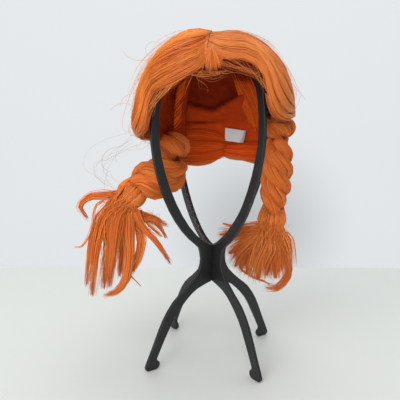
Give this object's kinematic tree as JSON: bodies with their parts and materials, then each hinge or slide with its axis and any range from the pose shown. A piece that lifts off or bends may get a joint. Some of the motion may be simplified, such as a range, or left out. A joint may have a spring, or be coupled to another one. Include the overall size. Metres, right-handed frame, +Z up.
{
  "type": "braided wig on a wig stand",
  "caption": "Costume wig with a centre part and plaits, its hollow cap open at the face and neck, resting on a stand of crossed flat frames with feet.",
  "frame": {"origin": "bottom centre of the whole object's box, on the surface that the stand's feet rest on", "axes": "+Z up along the stand's axis, -Y the way the face opening looks, +X to the right seen from the face side"},
  "size_m": [0.2464, 0.1774, 0.3618],
  "materials": {
    "stand_plastic": "satin black moulded plastic, lightly scuffed",
    "cap_cloth": "dark orange stretch net and weft",
    "weft_cloth": "stitched weft tape",
    "tag_cloth": "white woven tag, bare",
    "hair": "orange synthetic fibre, soft sheen along the strands",
    "hair_tie": "wound orange thread"
  },
  "bodies": {
    "root": {"stand_frame_a": "stand_plastic", "stand_frame_b": "stand_plastic", "wig_cap": "cap_cloth", "weft_band_left": "weft_cloth", "weft_band_right": "weft_cloth", "label_tag": "tag_cloth", "hair_left": "hair", "hair_right": "hair", "front_tuft": "hair", "braid_left_strand_1": "hair", "braid_left_strand_2": "hair", "braid_left_strand_3": "hair", "braid_right_strand_1": "hair", "braid_right_strand_2": "hair", "braid_right_strand_3": "hair", "tie_left": "hair_tie", "tie_right": "hair_tie", "tassel_left": "hair", "tassel_right": "hair"}
  },
  "joints": []
}
